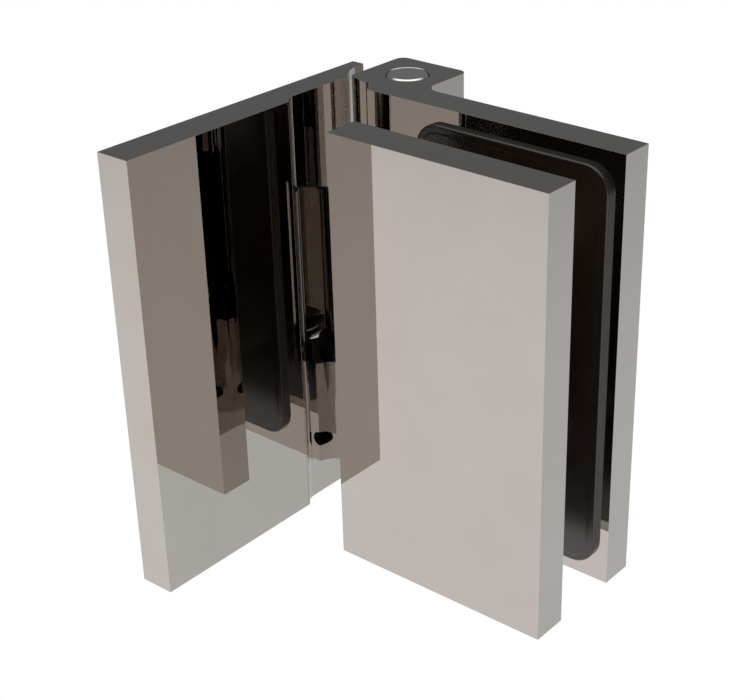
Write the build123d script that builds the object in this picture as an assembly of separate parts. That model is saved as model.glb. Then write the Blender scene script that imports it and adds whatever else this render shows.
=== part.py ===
from build123d import *
import os

# Wall-to-glass shower door hinge, offset pivot, door closed at 90 degrees to the wall.
# Millimetres. The origin is on the swing axis at mid-height: +Z up, +X along the glass
# and away from the wall, -Y towards the front clamp plate. The wall is the plane at -X.

# overall
height = 90.0
half_height = height / 2

# swing pin and its bearings, from the centre outwards
pin_r = 3.5
running_gap = 0.05
bush_r = 4.5
barrel_r = 6.0
washer_r = 7.6
cap_r = 4.2
cap_gap = 0.15
cap_thick = 2.4
cap_proud = 0.1
cap_chamfer = 0.35
mouth_chamfer = 0.25
spigot_r = 1.5
spigot_length = 4.5
spigot_depth = 5.0
pin_chamfer = 0.4

# flats of the knuckle on the wall leaf, beside and behind the pin
knuckle_side = 6.2
knuckle_front = -2.0
knuckle_back = 6.4

# stack along the pin, from mid-height outwards
knuckle_gap = 41.0
washer_thick = 1.0
flange_thick = 1.0
axial_play = 0.1
bush_length = 12.0

# lugs of the door leaf, and the rib behind the plate between them
block_half = 8.5
block_back = 8.55
block_corner_r = 1.8
block_fillet_r = 3.2
nose_y = -7.35
nose_r = 1.0
nose_rise = 0.29
root_x = -2.3
root_y = -9.15
root_dip = 0.3
cutout_x = 9.4
rib_thick = 3.0
rib_corner_r = 1.0

# door leaf plates and the glass slot between them
plate_end = 59.3
plate_inner = -12.3
plate_thick = 7.25
slot_width = 15.5
gasket_thick = 1.4
clamp_thick = 7.7
clamp_start = 10.4
clamp_end = 59.15

# rubber gaskets on both inner faces
gasket_start = 12.95
gasket_end = 56.8
gasket_margin = 3.05
gasket_corner_r = 5.3

# clamp screws, countersunk from the back, and the sleeves round them in the slot
screw_pitch = 44.0
screw_r = 3.0
screw_core_r = 2.5
screw_clear = 0.2
head_r = 5.8
head_sink = 0.3
thread_depth = 5.5
thread_end_gap = 0.4
sleeve_r = 7.0
sleeve_gap = 0.3
key_flats = 4.0
key_depth = 2.4

# set screw that locks the pin in the lower lug
lock_inset = 5.7
lock_r = 1.7
lock_length = 6.0
lock_key_flats = 2.0
lock_key_depth = 2.0
tip_chamfer = 0.6

# wall leaf, seen along the pin: a set-back face, a cove round the knuckle and a tail
wall_back = -14.4
pad_thick = 0.35
pad_inset = 0.6
setback_face = -8.57
fillet_start = -26.9
fillet_r = 4.0
lip_land = 0.25
lip_lap = 0.5
base_end = -28.9
cove_r = 11.9
cusp_turn = 38.0
flare_start = -13.4
tail_face = -11.6
web_turn = 210.0
web_width = 6.4

# screw flange under the cover
flange_end = -63.0
flange_metal = 2.8
flange_top_gap = 4.5
flange_bottom_gap = 6.1
tongue_width = 1.2
tongue_height = 2.1
tongue_gap = 0.15
wall_hole_r = 2.75
wall_sink_r = 4.9
wall_hole_x_pitch = 22.0
wall_hole_z_pitch = 54.0
wall_hole_centre = -46.0

# cover over the screw flange
cover_face = -6.84
cover_end = -67.3
cover_skin = 2.4
cover_rim = 3.3
cover_rim_z = 3.5
cover_gap = 0.08
cover_screw_pitch = 20.0
cover_screw_r = 1.7
cover_screw_back = 0.4
cover_screw_inset = 0.4
cover_screw_key = 2.0
cover_screw_key_depth = 1.8

# worked out from the sizes above
plate_outer = plate_inner + plate_thick
clamp_inner = plate_inner - slot_width
clamp_outer = clamp_inner - clamp_thick
half_gap = knuckle_gap / 2
barrel_half = half_gap - washer_thick - axial_play - flange_thick
bush_bore_r = pin_r + running_gap
pin_half = half_height + cap_proud - cap_thick
screw_x = (gasket_start + gasket_end) / 2
lock_z = lock_inset - half_height
flange_x = wall_back + flange_metal
tongue_x = wall_back + flange_metal / 2
flange_top = half_height - flange_top_gap
flange_bottom = -half_height + flange_bottom_gap
lip_start = fillet_start - lip_land
lip_x = setback_face - lip_lap
cover_screw_x = wall_back + cover_screw_r + cover_screw_back
ends = {"lower": -1, "upper": 1}


def slab(x0, x1, y0, y1, z0, z1):
    """Rectangular block between two corners."""
    size = (x1 - x0, y1 - y0, z1 - z0)
    centre = ((x0 + x1) / 2, (y0 + y1) / 2, (z0 + z1) / 2)
    return Pos(*centre) * Box(*size)


def rod(radius, z0, z1):
    """Upright cylinder on the swing axis."""
    return Pos(0, 0, (z0 + z1) / 2) * Cylinder(radius, abs(z1 - z0))


def rod_y(radius, x, z, y0, y1):
    """Cylinder along Y between two heights of Y."""
    return Pos(x, (y0 + y1) / 2, z) * Rot(90, 0, 0) * Cylinder(radius, abs(y1 - y0))


def upright(outline, z0, z1):
    """Prism of an outline drawn in plan."""
    return Pos(0, 0, z0) * extrude(make_face(outline), z1 - z0)


def hex_key(flats, depth):
    """Hexagonal socket cutter that starts at Z = 0 and goes down."""
    return extrude(RegularPolygon(flats / 2, 6, major_radius=False), -depth)


def on_circle(radius, turn):
    """Point in plan at an angle about the swing axis, in degrees from +X."""
    return Vector(radius, 0).rotate(Axis.Z, turn)


def on_turn(point):
    """Angle of a point about the swing axis, 0 to 360 degrees from +X."""
    return Vector(1, 0).get_signed_angle(point, Vector(0, 0, 1)) % 360


def bowed(start, end, rise):
    """Arc between two points in plan that rises to the left of the line between them."""
    across = (end - start).normalized().rotate(Axis.Z, 90)
    return ThreePointArc(start, (start + end) / 2 + across * rise, end)


def edges_near(shape, x, y):
    """Upright edges of a prism at one place in plan."""
    return [e for e in shape.edges().filter_by(Axis.Z)
            if abs(e.center().X - x) < 0.01 and abs(e.center().Y - y) < 0.01]


# ---- door leaf -------------------------------------------------------------

def door_outline():
    """Plan of the lugs and the back plate: the lug's front slants out from the nose to
    the root, where a hollow leads to the sharp corner of the plate."""
    corner = Vector(0, plate_inner)
    root = Vector(root_x, root_y)
    nose = Vector(-block_half, nose_y)
    return [
        bowed(corner, root, -root_dip),
        bowed(root, nose, nose_rise),
        Polyline(nose, (-block_half, block_back), (block_half, block_back),
                 (block_half, plate_outer), (plate_end, plate_outer),
                 (plate_end, plate_inner), corner),
    ]


def door_plate():
    """Back plate and both lugs in one piece, with the knuckle gap cut in from the wall
    side and a rib along the edge of the gap that stiffens the plate."""
    body = upright(door_outline(), -half_height, half_height)
    rounds = edges_near(body, -block_half, block_back)
    rounds += edges_near(body, block_half, block_back)
    body = fillet(rounds, block_corner_r)
    body = fillet(edges_near(body, block_half, plate_outer), block_fillet_r)
    body = fillet(edges_near(body, -block_half, nose_y), nose_r)
    reach = block_back + slot_width
    body -= slab(-reach, cutout_x, -reach, reach, -half_gap, half_gap)
    rib_end = cutout_x + rib_thick
    body += slab(cutout_x, rib_end, plate_inner, block_back, -half_gap, half_gap)
    body = fillet(edges_near(body, rib_end, block_back), rib_corner_r)
    body -= rod(pin_r, -height, height)
    for side in ends.values():
        seat = side * (half_height - cap_thick + cap_proud)
        body -= rod(cap_r + cap_gap, seat, side * height)
        body -= cap_mouth(side)
    body -= rod_y(lock_r, 0, lock_z, 2 * plate_inner, 0)
    for side in ends.values():
        body -= clamp_screw_cut(side * screw_pitch / 2)
    return body


def cap_mouth(side):
    """Chamfer cutter at the mouth of a lug's cap bore."""
    bore = cap_r + cap_gap
    cone = Cone(bore, bore + mouth_chamfer, mouth_chamfer)
    turn = 0 if side > 0 else 180
    return Pos(0, 0, side * (half_height - mouth_chamfer / 2)) * Rot(turn, 0, 0) * cone


def clamp_screw_cut(z):
    """Countersunk clearance hole through the back plate."""
    hole = rod_y(screw_r + screw_clear, screw_x, z, plate_inner - 1, plate_outer + 1)
    depth = head_r - screw_r
    cone = Cone(screw_r + screw_clear, head_r + screw_clear, depth)
    sink_y = plate_outer - head_sink - depth / 2
    mouth = rod_y(head_r + screw_clear, screw_x, z, plate_outer - head_sink, plate_outer + 1)
    return hole + Pos(screw_x, sink_y, z) * Rot(-90, 0, 0) * cone + mouth


def clamp_plate():
    """Plain front plate with two blind threaded holes on its inner face."""
    body = slab(clamp_start, clamp_end, clamp_outer, clamp_inner, -half_height, half_height)
    for side in ends.values():
        bottom = clamp_inner - thread_depth
        body -= rod_y(screw_core_r, screw_x, side * screw_pitch / 2, bottom, clamp_inner + 1)
    return body


def gasket(y0):
    """Flat rubber gasket with round corners and two holes for the sleeves."""
    width = gasket_end - gasket_start
    tall = height - 2 * gasket_margin
    outline = RectangleRounded(width, tall, gasket_corner_r)
    sheet = Pos(screw_x, y0 + gasket_thick, 0) * Rot(90, 0, 0) * extrude(outline, gasket_thick)
    for side in ends.values():
        hole_z = side * screw_pitch / 2
        sheet -= rod_y(sleeve_r + sleeve_gap, screw_x, hole_z, y0 - 1, y0 + gasket_thick + 1)
    return sheet


def clamp_screw(z):
    """Countersunk socket screw from the back plate into the front plate."""
    depth = head_r - screw_r
    head_y = plate_outer - head_sink
    neck_y = head_y - depth
    tip_y = clamp_inner - thread_depth + thread_end_gap
    head = Pos(screw_x, (head_y + neck_y) / 2, z) * Rot(-90, 0, 0) * Cone(screw_r, head_r, depth)
    shank = rod_y(screw_r, screw_x, z, clamp_inner, neck_y)
    thread = rod_y(screw_core_r, screw_x, z, tip_y, clamp_inner)
    key = Pos(screw_x, head_y, z) * Rot(-90, 0, 0) * hex_key(key_flats, key_depth)
    return head + shank + thread - key


def sleeve(z):
    """Nylon sleeve that keeps the clamp screw off the glass."""
    outer = rod_y(sleeve_r, screw_x, z, clamp_inner + running_gap, plate_inner - running_gap)
    return outer - rod_y(screw_r + screw_clear, screw_x, z, clamp_inner - 1, plate_inner + 1)


def hinge_pin():
    """Straight pin through both lugs and the barrel, drilled at its ends for the caps."""
    pin = rod(pin_r, -pin_half, pin_half)
    pin = chamfer(pin.edges(), pin_chamfer)
    for side in ends.values():
        pin -= rod(spigot_r, side * (pin_half - spigot_depth), side * height)
    return pin


def pin_cap(side):
    """Button on the end of the pin, nearly flush with the lug, with a spigot inside."""
    face = side * (half_height + cap_proud)
    button = rod(cap_r, side * pin_half, face)
    rim = button.edges().filter_by(GeomType.CIRCLE).sort_by(Axis.Z)[-1 if side > 0 else 0]
    button = chamfer(rim, cap_chamfer)
    return button + rod(spigot_r, side * (pin_half - spigot_length), side * pin_half)


def lock_screw():
    """Set screw that bears on the pin, with a hexagonal key socket at its outer end."""
    tip = -pin_r
    mouth = tip - lock_length
    body = rod_y(lock_r, 0, lock_z, mouth, tip)
    ends_y = body.edges().filter_by(GeomType.CIRCLE).sort_by(Axis.Y)
    body = chamfer(ends_y[-1], tip_chamfer)
    key = Pos(0, mouth, lock_z) * Rot(90, 0, 0) * hex_key(lock_key_flats, lock_key_depth)
    return body - key


# ---- wall leaf -------------------------------------------------------------

def base_outline():
    """Plan of the wall base beside the cover: lip, hollow fillet, set-back face that
    flares to a cusp, cove round the knuckle, and a thin tail."""
    cusp = on_circle(cove_r, 270 - cusp_turn)
    tail_y = -(cove_r ** 2 - tail_face ** 2) ** 0.5
    cove_end = Vector(tail_face, tail_y)
    cove_mid = on_circle(cove_r, (on_turn(cusp) + on_turn(cove_end)) / 2)
    step = cover_face - setback_face
    fillet_top = Vector(cover_face, fillet_start)
    run = (fillet_r ** 2 - (fillet_r - step) ** 2) ** 0.5
    hollow = fillet_r - (fillet_r ** 2 - fillet_r * step / 2) ** 0.5
    fillet_foot = Vector(setback_face, fillet_start + run)
    flare_foot = Vector(setback_face, flare_start)
    return [
        Polyline((wall_back, base_end), (lip_x, base_end), (lip_x, lip_start),
                 (cover_face, lip_start), fillet_top),
        bowed(fillet_top, fillet_foot, hollow),
        Line(fillet_foot, flare_foot),
        TangentArc(flare_foot, cusp, tangent=(0, 1)),
        ThreePointArc(cusp, cove_mid, cove_end),
        Polyline(cove_end, (tail_face, 0), (wall_back, 0), (wall_back, base_end)),
    ]


def wall_hole_cut(y, z):
    """Countersunk hole for a wall screw, sunk from the room side."""
    depth = wall_sink_r - wall_hole_r
    hole = Rot(0, 90, 0) * Cylinder(wall_hole_r, 4 * flange_metal)
    cone = Pos(flange_x - depth / 2, 0, 0) * Rot(0, 90, 0) * Cone(wall_hole_r, wall_sink_r, depth)
    return Pos(0, y, z) * (Pos(wall_back, 0, 0) * hole + cone)


def wall_base():
    """Base with its screw flange, and the flat-sided knuckle on a web between the lugs."""
    body = upright(base_outline(), -half_height, half_height)
    body += slab(wall_back, flange_x, flange_end, base_end, flange_bottom, flange_top)
    tongue = slab(tongue_x - tongue_width / 2, tongue_x + tongue_width / 2,
                  flange_end, base_end, flange_top, flange_top + tongue_height)
    body += tongue
    web_reach = cove_r + 1
    web = Rot(0, 0, web_turn) * slab(0, web_reach, -web_width / 2, web_width / 2,
                                     -barrel_half, barrel_half)
    body += web
    body += rod(barrel_r, -barrel_half, barrel_half)
    body += slab(-barrel_r, knuckle_side, knuckle_front, knuckle_back,
                 -barrel_half, barrel_half)
    body -= rod(bush_r, -height, height)
    for row in (-1, 1):
        for column in (-1, 1):
            y = wall_hole_centre + row * wall_hole_x_pitch / 2
            body -= wall_hole_cut(y, column * wall_hole_z_pitch / 2)
    return body


def wall_cover():
    """Thick cap with a pocket for the screw flange, a groove for its tongue and two
    threaded holes in the bottom edge."""
    body = slab(wall_back, cover_face, cover_end, lip_start - cover_gap,
                -half_height, half_height)
    body -= slab(wall_back - 1, lip_x + cover_gap, base_end - cover_gap, 0,
                 -height, height)
    pocket_z = half_height - cover_rim_z
    body -= slab(wall_back - 1, cover_face - cover_skin, cover_end + cover_rim, 0,
                 -pocket_z, pocket_z)
    reach = tongue_width / 2 + tongue_gap
    groove_top = flange_top + tongue_height + tongue_gap
    body -= slab(tongue_x - reach, tongue_x + reach, cover_end + cover_rim, 0,
                 pocket_z - 1, groove_top)
    for side in (-1, 1):
        y = wall_hole_centre + side * cover_screw_pitch / 2
        hole = Cylinder(cover_screw_r, 3 * cover_rim_z)
        body -= Pos(cover_screw_x, y, -half_height) * hole
    return body


def cover_screw(side):
    """Set screw in the cover's bottom edge that jams against the flange."""
    y = wall_hole_centre + side * cover_screw_pitch / 2
    mouth = -half_height + cover_screw_inset
    body = Pos(0, 0, (mouth + flange_bottom) / 2)
    body *= Cylinder(cover_screw_r, flange_bottom - mouth)
    body = chamfer(body.edges().sort_by(Axis.Z)[-1], tip_chamfer)
    key = Pos(0, 0, mouth) * Rot(180, 0, 0) * hex_key(cover_screw_key, cover_screw_key_depth)
    return Pos(cover_screw_x, y, 0) * (body - key)


def wall_pad():
    """Thin sealing pad behind the base, cut round the wall screws."""
    y0 = flange_end + pad_inset
    z1 = half_height - pad_inset
    pad = slab(wall_back - pad_thick, wall_back, base_end, -pad_inset, -z1, z1)
    pad += slab(wall_back - pad_thick, wall_back, y0, base_end,
                flange_bottom + pad_inset, flange_top - pad_inset)
    for row in (-1, 1):
        for column in (-1, 1):
            y = wall_hole_centre + row * wall_hole_x_pitch / 2
            hole = Rot(0, 90, 0) * Cylinder(wall_hole_r + pad_inset, 4 * pad_thick)
            pad -= Pos(wall_back, y, column * wall_hole_z_pitch / 2) * hole
    return pad


# ---- bearings between the two leaves ---------------------------------------

def bush(side):
    """Flanged nylon bush pressed into one end of the barrel."""
    face = side * (barrel_half + flange_thick)
    tube = rod(bush_r, side * (barrel_half - bush_length), side * barrel_half)
    collar = rod(washer_r, side * barrel_half, face)
    return tube + collar - rod(bush_bore_r, -height, height)


def bush_spacer():
    """Tube that keeps the two bushes apart inside the barrel."""
    reach = barrel_half - bush_length
    return rod(bush_r, -reach, reach) - rod(bush_bore_r + running_gap, -height, height)


def thrust_washer(side):
    """Steel washer on the face of a lug, which runs on the bush's collar."""
    ring = rod(washer_r, side * (half_gap - washer_thick), side * half_gap)
    return ring - rod(pin_r, -height, height)


# ---- write one STEP for each node ------------------------------------------

nodes = {
    "door_plate": door_plate(),
    "clamp_plate": clamp_plate(),
    "back_gasket": gasket(plate_inner - gasket_thick),
    "front_gasket": gasket(clamp_inner),
    "hinge_pin": hinge_pin(),
    "wall_base": wall_base(),
    "wall_cover": wall_cover(),
    "wall_pad": wall_pad(),
    "cover_set_screws": Compound(children=[cover_screw(-1), cover_screw(1)]),
    "bush_spacer": bush_spacer(),
    "pin_lock_screw": lock_screw(),
}
for name, side in ends.items():
    nodes[name + "_clamp_screw"] = clamp_screw(side * screw_pitch / 2)
    nodes[name + "_screw_sleeve"] = sleeve(side * screw_pitch / 2)
    nodes[name + "_pin_cap"] = pin_cap(side)
    nodes[name + "_bush"] = bush(side)
    nodes[name + "_thrust_washer"] = thrust_washer(side)

os.makedirs("parts", exist_ok=True)
for name, shape in nodes.items():
    export_step(shape, "parts/" + name + ".step")
    print(name, round(shape.volume, 1))
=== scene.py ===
import math
import bpy
import numpy as np
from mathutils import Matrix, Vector, geometry


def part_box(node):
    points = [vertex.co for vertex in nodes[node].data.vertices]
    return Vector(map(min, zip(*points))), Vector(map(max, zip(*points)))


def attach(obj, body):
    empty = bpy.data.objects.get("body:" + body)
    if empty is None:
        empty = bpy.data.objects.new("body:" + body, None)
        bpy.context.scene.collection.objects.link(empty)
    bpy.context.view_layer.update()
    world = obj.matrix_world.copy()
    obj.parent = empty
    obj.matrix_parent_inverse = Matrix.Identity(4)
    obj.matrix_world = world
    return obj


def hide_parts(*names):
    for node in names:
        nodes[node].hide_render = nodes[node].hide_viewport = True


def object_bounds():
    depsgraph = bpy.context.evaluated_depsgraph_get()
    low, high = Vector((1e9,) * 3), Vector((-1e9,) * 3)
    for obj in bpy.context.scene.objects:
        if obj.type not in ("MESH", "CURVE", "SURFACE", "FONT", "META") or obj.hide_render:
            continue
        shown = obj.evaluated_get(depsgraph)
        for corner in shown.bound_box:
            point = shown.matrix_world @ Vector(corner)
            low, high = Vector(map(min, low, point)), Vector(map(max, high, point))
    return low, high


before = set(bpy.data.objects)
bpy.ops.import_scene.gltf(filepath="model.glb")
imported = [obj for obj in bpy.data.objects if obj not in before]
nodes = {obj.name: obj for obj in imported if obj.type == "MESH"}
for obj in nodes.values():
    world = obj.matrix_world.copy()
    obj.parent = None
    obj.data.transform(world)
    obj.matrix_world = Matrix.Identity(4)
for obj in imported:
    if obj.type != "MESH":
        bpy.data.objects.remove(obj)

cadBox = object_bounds()
ends = ("upper", "lower")
mm = 0.001

# small helpers for node trees

def newMaterial(name):
    mat = bpy.data.materials.new(name)
    mat.use_nodes = True
    mat.node_tree.nodes.clear()
    return mat, mat.node_tree


def addNode(tree, kind, **settings):
    node = tree.nodes.new(kind)
    for key, value in settings.items():
        setattr(node, key, value)
    return node


def link(tree, source, target):
    tree.links.new(source, target)


def ramp(tree, source, stops):
    # stops is a list of (place, grey or colour)
    node = tree.nodes.new("ShaderNodeValToRGB")
    while len(node.color_ramp.elements) < len(stops):
        node.color_ramp.elements.new(0.5)
    for element, (place, shade) in zip(node.color_ramp.elements, stops):
        element.position = place
        element.color = (shade, shade, shade, 1) if isinstance(shade, (int, float)) else (*shade, 1)
    link(tree, source, node.inputs[0])
    return node.outputs[0]


def turnedCoords(tree, turn=(0, 0, 0)):
    coords = addNode(tree, "ShaderNodeTexCoord")
    mapping = addNode(tree, "ShaderNodeMapping")
    mapping.inputs["Rotation"].default_value = turn
    link(tree, coords.outputs["Object"], mapping.inputs["Vector"])
    return mapping.outputs["Vector"]


def noise(tree, vector, scale, detail, rough):
    node = addNode(tree, "ShaderNodeTexNoise")
    node.inputs["Scale"].default_value = scale
    node.inputs["Detail"].default_value = detail
    node.inputs["Roughness"].default_value = rough
    link(tree, vector, node.inputs["Vector"])
    return node.outputs["Fac"]


def mathNode(tree, operation, a, b):
    node = addNode(tree, "ShaderNodeMath", operation=operation)
    for slot, value in zip(node.inputs, (a, b)):
        if isinstance(value, (int, float)):
            slot.default_value = value
        else:
            link(tree, value, slot)
    return node.outputs[0]


def addBump(tree, height, strength, distance):
    bump = addNode(tree, "ShaderNodeBump")
    bump.inputs["Strength"].default_value = strength
    bump.inputs["Distance"].default_value = distance
    link(tree, height, bump.inputs["Height"])
    return bump


def finishMaterial(tree, shader):
    out = addNode(tree, "ShaderNodeOutputMaterial")
    link(tree, shader.outputs[0], out.inputs["Surface"])


nickel = {
    "bright": (0.472, 0.432, 0.395),
    "worn": (0.458, 0.418, 0.380),
    "polish": (0.006, 0.020),
    "smudgeScale": 60.0,
    "swirlScale": 700.0,
    "swirlStrength": 0.15,
    "swirlHeight": 0.0004 * mm,
    "edgeRadius": 0.06 * mm,
    "edgeSamples": 4,
}


def mirrorNickel(name, seed):
    mat, tree = newMaterial(name)
    shader = addNode(tree, "ShaderNodeBsdfPrincipled")
    shader.inputs["Metallic"].default_value = 1.0
    vector = turnedCoords(tree, (0.3 * seed, 0.2, 0.5 * seed))
    cloud = noise(tree, vector, nickel["smudgeScale"], 4.0, 0.6)
    fine = noise(tree, vector, nickel["swirlScale"], 3.0, 0.7)
    tint = ramp(tree, cloud, [(0.35, nickel["worn"]), (0.65, nickel["bright"])])
    low, high = nickel["polish"]
    haze = ramp(tree, cloud, [(0.3, low), (0.75, high)])
    link(tree, tint, shader.inputs["Base Color"])
    link(tree, haze, shader.inputs["Roughness"])
    bump = addBump(tree, fine, nickel["swirlStrength"], nickel["swirlHeight"])
    edge = addNode(tree, "ShaderNodeBevel", samples=nickel["edgeSamples"])
    edge.inputs["Radius"].default_value = nickel["edgeRadius"]
    link(tree, edge.outputs["Normal"], bump.inputs["Normal"])
    link(tree, bump.outputs["Normal"], shader.inputs["Normal"])
    finishMaterial(tree, shader)
    return mat


def dress(nodeName, mat):
    mesh = nodes[nodeName].data
    mesh.materials.clear()
    mesh.materials.append(mat)


for seed, name in enumerate(("door_plate", "clamp_plate", "wall_base", "wall_cover")):
    dress(name, mirrorNickel("nickel_" + name, seed + 1))
print("mirror nickel on the four big pieces")

# turned and ground steel, nylon and rubber

steels = {
    "pinSteel": {"bright": (0.50, 0.49, 0.48), "dark": (0.40, 0.39, 0.38),
                 "rough": (0.16, 0.30), "rings": 2600.0},
    "capSteel": {"bright": (0.71, 0.69, 0.66), "dark": (0.62, 0.60, 0.57),
                 "rough": (0.10, 0.22), "rings": 3000.0},
    "screwSteel": {"bright": (0.52, 0.51, 0.50), "dark": (0.42, 0.41, 0.40),
                   "rough": (0.14, 0.30), "rings": 2600.0},
    "blackSteel": {"bright": (0.060, 0.058, 0.056), "dark": (0.025, 0.024, 0.023),
                   "rough": (0.28, 0.45), "rings": 2600.0},
}
toolMarks = {
    "grain": 1800.0,
    "patch": 240.0,
    "wobble": 1.6,
    "strength": 0.25,
    "depth": 0.01 * mm,
}


def turnedSteel(name, centre, axis):
    # tool rings: a sine of the distance from the turning axis, broken by fine noise
    look = steels[name.split("_")[0]]
    mat, tree = newMaterial(name)
    shader = addNode(tree, "ShaderNodeBsdfPrincipled")
    shader.inputs["Metallic"].default_value = 1.0
    coords = addNode(tree, "ShaderNodeTexCoord")
    mapping = addNode(tree, "ShaderNodeMapping", vector_type="POINT")
    mapping.inputs["Location"].default_value = [-c for c in centre]
    link(tree, coords.outputs["Object"], mapping.inputs["Vector"])
    flat = addNode(tree, "ShaderNodeVectorMath", operation="MULTIPLY")
    flat.inputs[1].default_value = (axis != "X", axis != "Y", axis != "Z")
    link(tree, mapping.outputs["Vector"], flat.inputs[0])
    length = addNode(tree, "ShaderNodeVectorMath", operation="LENGTH")
    link(tree, flat.outputs["Vector"], length.inputs[0])
    grain = noise(tree, mapping.outputs["Vector"], toolMarks["grain"], 4.0, 0.6)
    patch = noise(tree, mapping.outputs["Vector"], toolMarks["patch"], 3.0, 0.6)
    wobble = mathNode(tree, "MULTIPLY", grain, toolMarks["wobble"])
    turns = mathNode(tree, "MULTIPLY", length.outputs["Value"], look["rings"] * math.pi)
    ring = mathNode(tree, "SINE", mathNode(tree, "ADD", turns, wobble), 0.0)
    tint = ramp(tree, patch, [(0.3, look["dark"]), (0.7, look["bright"])])
    link(tree, tint, shader.inputs["Base Color"])
    low, high = look["rough"]
    link(tree, ramp(tree, patch, [(0.25, high), (0.75, low)]), shader.inputs["Roughness"])
    bump = addBump(tree, ring, toolMarks["strength"], toolMarks["depth"])
    link(tree, bump.outputs["Normal"], shader.inputs["Normal"])
    finishMaterial(tree, shader)
    return mat


plastics = {
    "blackNylon": {"high": (0.022, 0.021, 0.020), "low": (0.012, 0.0115, 0.011),
                   "rough": (0.30, 0.50), "grain": 2500.0, "shine": 0.5},
    "ivoryNylon": {"high": (0.60, 0.575, 0.52), "low": (0.50, 0.48, 0.43),
                   "rough": (0.32, 0.48), "grain": 2200.0, "shine": 0.5},
    "padFoam": {"high": (0.035, 0.034, 0.033), "low": (0.018, 0.018, 0.017),
                "rough": (0.70, 0.90), "grain": 3500.0, "shine": 0.5},
    "gasketRubber": {"high": (0.029, 0.0185, 0.012), "low": (0.025, 0.016, 0.0105),
                     "rough": (0.20, 0.23), "grain": 2600.0, "shine": 0.65},
}
mouldSkin = {
    "patch": 130.0,
    "strength": 0.2,
    "depth": 0.02 * mm,
}


def moulded(name):
    look = plastics[name]
    mat, tree = newMaterial(name)
    shader = addNode(tree, "ShaderNodeBsdfPrincipled")
    shader.inputs["Specular IOR Level"].default_value = look["shine"]
    vector = turnedCoords(tree)
    patch = noise(tree, vector, mouldSkin["patch"], 4.0, 0.6)
    grain = noise(tree, vector, look["grain"], 3.0, 0.6)
    tint = ramp(tree, patch, [(0.3, look["low"]), (0.7, look["high"])])
    link(tree, tint, shader.inputs["Base Color"])
    low, high = look["rough"]
    link(tree, ramp(tree, patch, [(0.3, low), (0.7, high)]), shader.inputs["Roughness"])
    bump = addBump(tree, grain, mouldSkin["strength"], mouldSkin["depth"])
    link(tree, bump.outputs["Normal"], shader.inputs["Normal"])
    finishMaterial(tree, shader)
    return mat


def centreOf(name):
    low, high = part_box(name)
    return (low + high) / 2


blackNylon = moulded("blackNylon")
ivoryNylon = moulded("ivoryNylon")
dress("hinge_pin", turnedSteel("pinSteel", (0, 0, 0), "Z"))
dress("wall_pad", moulded("padFoam"))
dress("bush_spacer", blackNylon)
dress("cover_set_screws", turnedSteel("blackSteel_cover", centreOf("cover_set_screws"), "Z"))
dress("pin_lock_screw", turnedSteel("blackSteel_lock", centreOf("pin_lock_screw"), "Y"))
for end in ends:
    dress(end + "_pin_cap", turnedSteel("capSteel_" + end, (0, 0, 0), "Z"))
    screw = end + "_clamp_screw"
    dress(screw, turnedSteel("screwSteel_" + screw, centreOf(screw), "Y"))
    dress(end + "_screw_sleeve", ivoryNylon)
    dress(end + "_bush", blackNylon)
    dress(end + "_thrust_washer", turnedSteel("screwSteel_washer_" + end, (0, 0, 0), "Z"))
print("steel and nylon")


gasket = {
    "corner": 5.3 * mm,
    "edgeRound": 0.45 * mm,
    "stepIn": 1.25 * mm,       # the raised face starts this far in from the rim
    "stepDrop": 0.08 * mm,     # and the rim land lies this far below it
    "stepWidth": 0.6 * mm,
    "holeRadius": 7.3 * mm,
    "cornerSteps": 14,
    "roundSteps": 6,
    "stepSteps": 5,
    "holeSteps": 72,
    "holeInside": 0.995,       # a face with its middle this share of the radius in is in a hole
    "samePoint": 1e-7,
}


def roundedOutline(low, high, radius, steps):
    # closed outline of a rectangle with quarter-circle corners, anticlockwise
    turn = np.linspace(0, math.pi / 2, steps)
    centres = [(high[0], high[1]), (low[0], high[1]), (low[0], low[1]), (high[0], low[1])]
    inward = [(-1, -1), (1, -1), (1, 1), (-1, 1)]
    parts = []
    for k, ((cx, cy), (sx, sy)) in enumerate(zip(centres, inward)):
        angle = turn + k * math.pi / 2
        x = cx + sx * radius + radius * np.cos(angle)
        y = cy + sy * radius + radius * np.sin(angle)
        parts.append(np.column_stack([x, y]))
    return np.vstack(parts)


def inset(outline, amount):
    # moves each point along the mean normal of its two edges
    before = outline - np.roll(outline, 1, axis=0)
    after = np.roll(outline, -1, axis=0) - outline
    before /= np.linalg.norm(before, axis=1, keepdims=True)
    after /= np.linalg.norm(after, axis=1, keepdims=True)
    along = before + after
    along /= np.linalg.norm(along, axis=1, keepdims=True)
    normal = np.column_stack([-along[:, 1], along[:, 0]])
    return outline + normal * amount / np.abs((before * along).sum(1))[:, None]


def rimProfile(thick):
    # The rim's profile as steps inwards and heights: up the side, round the edge with a
    # quarter circle, along a low land, then up a small step that eases in and out.
    r = gasket["edgeRound"]
    turn = np.linspace(0, math.pi / 2, gasket["roundSteps"])
    landHeight = thick - gasket["stepDrop"]
    s = np.linspace(0, 1, gasket["stepSteps"])
    smooth = s * s * (3 - 2 * s)
    steps = np.concatenate([[0], r - r * np.cos(turn), gasket["stepIn"] + gasket["stepWidth"] * s])
    heights = np.concatenate([[0], landHeight - r + r * np.sin(turn),
                              landHeight + gasket["stepDrop"] * smooth])
    return steps, heights


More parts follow.
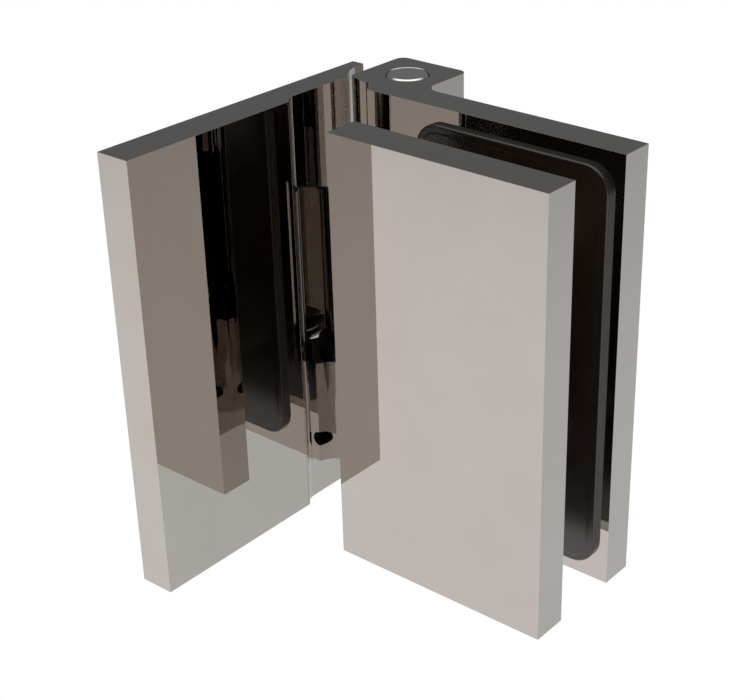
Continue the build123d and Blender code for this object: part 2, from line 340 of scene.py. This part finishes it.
def flatFaces(flat, loops, holeCentres):
    # triangles of the flat region between the first loop and the holes, the other loops
    index = np.concatenate(loops)
    edges = []
    first = 0
    for loop in loops:
        k = np.arange(len(loop))
        edges += list(zip(first + k, first + (k + 1) % len(loop)))
        first += len(loop)
    points = [Vector(p) for p in flat[index]]
    edges = [tuple(map(int, e)) for e in edges]
    found = geometry.delaunay_2d_cdt(points, edges, [], 0, gasket["samePoint"])
    reach = gasket["holeRadius"] * gasket["holeInside"]
    faces = []
    for face in found[2]:
        middle = np.mean([found[0][v][:] for v in face], axis=0)
        if all(np.hypot(*(middle - centre)) >= reach for centre in holeCentres):
            faces.append([int(index[found[3][v][0]]) for v in face])
    return faces


def gasketSurface(low, high):
    # The rim is its profile carried round the rounded outline, the holes are plain tubes,
    # and the face inside the rim and the back are flat.
    thick = high.y - low.y
    outline = roundedOutline((low.x, low.z), (high.x, high.z), gasket["corner"], gasket["cornerSteps"])
    steps, rises = rimProfile(thick)
    n = len(outline)
    verts = [inset(outline, step) for step in steps]
    heights = [np.repeat(rises, n)]
    i = np.arange(n)
    after = (i + 1) % n
    ringStarts = n * np.arange(len(steps) - 1)
    quads = [np.column_stack([a + i, a + after, a + n + after, a + n + i]) for a in ringStarts]
    lastRing = (len(steps) - 1) * n
    m = gasket["holeSteps"]
    around = np.linspace(0, 2 * math.pi, m, endpoint=False)
    circle = gasket["holeRadius"] * np.column_stack([np.cos(around), np.sin(around)])
    holeCentres = [np.array([(low.x + high.x) / 2, centreOf(end + "_screw_sleeve").z]) for end in ends]
    j = np.arange(m)
    start = n * len(steps)
    backLoops = [i]
    frontLoops = [lastRing + i]
    for centre in holeCentres:
        verts += [circle + centre, circle + centre]
        heights += [np.zeros(m), np.full(m, thick)]
        backRow = start + j
        frontRow = backRow + m
        quads.append(np.column_stack([backRow, frontRow, np.roll(frontRow, -1), np.roll(backRow, -1)]))
        backLoops.append(backRow)
        frontLoops.append(frontRow)
        start += 2 * m
    flat = np.vstack(verts)
    faces = [face.tolist() for quad in quads for face in quad]
    faces += flatFaces(flat, frontLoops, holeCentres)
    faces += [face[::-1] for face in flatFaces(flat, backLoops, holeCentres)]
    return flat, np.concatenate(heights), faces


def makeGasket(name, nodeName, faceTowards, body):
    low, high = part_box(nodeName)
    flat, heights, faces = gasketSurface(low, high)
    if faceTowards < 0:
        y = high.y - heights
    else:
        y = low.y + heights
        faces = [face[::-1] for face in faces]
    mesh = bpy.data.meshes.new(name)
    mesh.from_pydata(np.column_stack([flat[:, 0], y, flat[:, 1]]).tolist(), [], faces)
    mesh.validate()
    piece = bpy.data.objects.new(name, mesh)
    bpy.context.scene.collection.objects.link(piece)
    mesh.materials.append(rubber)
    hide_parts(nodeName)
    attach(piece, body)


rubber = moulded("gasketRubber")
makeGasket("rear_rubber_gasket", "back_gasket", -1, "door_leaf")
makeGasket("front_rubber_gasket", "front_gasket", 1, "door_leaf")
print("rubber gaskets")


studio = {
    "floorSize": 6.0,
    "frontBelow": (1.10, 1.10, 1.12),
    "backBelow": (0.80, 0.84, 0.86),
    "sky": (0.162, 0.170, 0.178),
    "zenith": (1.6, 1.6, 1.6),
    "sweepFade": (0.2, 0.8),
    "skyRise": (0.62, 0.86),
    "horizonTilt": 0.04,
    "horizonLift": 0.625,
    "horizon": [(0.10, 0.0), (0.18, 0.04), (0.24, 0.12), (0.30, 0.22),
                (0.355, 0.36), (0.46, 0.85), (0.55, 1.0)],
}


def makeFloor():
    # pale floor; the light that comes from below the horizon is the world's
    half = studio["floorSize"] / 2
    z = cadBox[0][2]
    corners = [(-half, -half, z), (half, -half, z), (half, half, z), (-half, half, z)]
    mesh = bpy.data.meshes.new("floor")
    mesh.from_pydata(corners, [], [(0, 1, 2, 3)])
    floor = bpy.data.objects.new("floor", mesh)
    bpy.context.scene.collection.objects.link(floor)
    mat, tree = newMaterial("paleFloor")
    clear = addNode(tree, "ShaderNodeBsdfTransparent")
    white = addNode(tree, "ShaderNodeEmission")
    path = addNode(tree, "ShaderNodeLightPath")
    pick = addNode(tree, "ShaderNodeMixShader")
    link(tree, path.outputs["Is Camera Ray"], pick.inputs[0])
    link(tree, clear.outputs[0], pick.inputs[1])
    link(tree, white.outputs[0], pick.inputs[2])
    finishMaterial(tree, pick)
    mesh.materials.append(mat)


def makeWorld():
    # soft studio: a bright sweep below the horizon, dim above it, one big light overhead
    world = bpy.data.worlds.new("studio")
    world.use_nodes = True
    tree = world.node_tree
    tree.nodes.clear()
    coords = addNode(tree, "ShaderNodeTexCoord")
    split = addNode(tree, "ShaderNodeSeparateXYZ")
    link(tree, coords.outputs["Generated"], split.inputs[0])
    depth = mathNode(tree, "ADD", mathNode(tree, "MULTIPLY", split.outputs[1], 0.5), 0.5)
    front, back = studio["sweepFade"]
    below = ramp(tree, depth, [(front, studio["frontBelow"]), (back, studio["backBelow"])])
    start, full = studio["skyRise"]
    above = ramp(tree, split.outputs[2], [(start, studio["sky"]), (full, studio["zenith"])])
    # the sweep ends a little lower behind than in front
    tilt = mathNode(tree, "MULTIPLY", split.outputs[1], studio["horizonTilt"])
    height = mathNode(tree, "ADD", split.outputs[2], tilt)
    place = mathNode(tree, "ADD", height, studio["horizonLift"])
    rise = ramp(tree, place, studio["horizon"])
    blend = addNode(tree, "ShaderNodeMix", data_type="RGBA", clamp_factor=True)
    link(tree, rise, blend.inputs[0])
    link(tree, below, blend.inputs[6])
    link(tree, above, blend.inputs[7])
    sky = addNode(tree, "ShaderNodeBackground")
    link(tree, blend.outputs[2], sky.inputs["Color"])
    plain = addNode(tree, "ShaderNodeBackground")
    plain.inputs["Color"].default_value = (1, 1, 1, 1)
    path = addNode(tree, "ShaderNodeLightPath")
    pick = addNode(tree, "ShaderNodeMixShader")
    link(tree, path.outputs["Is Camera Ray"], pick.inputs[0])
    link(tree, sky.outputs[0], pick.inputs[1])
    link(tree, plain.outputs[0], pick.inputs[2])
    out = addNode(tree, "ShaderNodeOutputWorld")
    link(tree, pick.outputs[0], out.inputs["Surface"])
    bpy.context.scene.world = world


view = {
    "place": (196.67 * mm, -235.71 * mm, 141.13 * mm),
    "azimuth": 37.631,
    "elevation": 26.915,
    "lens": 76.9,
    "sensor": 36.0,
    "shift": (-0.1252, -0.0112),
    "near": 0.01,
}


def makeCamera():
    data = bpy.data.cameras.new("camera")
    data.lens = view["lens"]
    data.sensor_width = view["sensor"]
    data.shift_x, data.shift_y = view["shift"]
    data.clip_start = view["near"]
    camera = bpy.data.objects.new("camera", data)
    camera.location = view["place"]
    tilt = math.radians(90 - view["elevation"])
    camera.rotation_euler = (tilt, 0, math.radians(view["azimuth"]))
    bpy.context.scene.collection.objects.link(camera)
    bpy.context.scene.camera = camera


makeFloor()
makeWorld()
makeCamera()
bpy.context.scene.view_settings.view_transform = "Standard"
print("floor, light and camera")
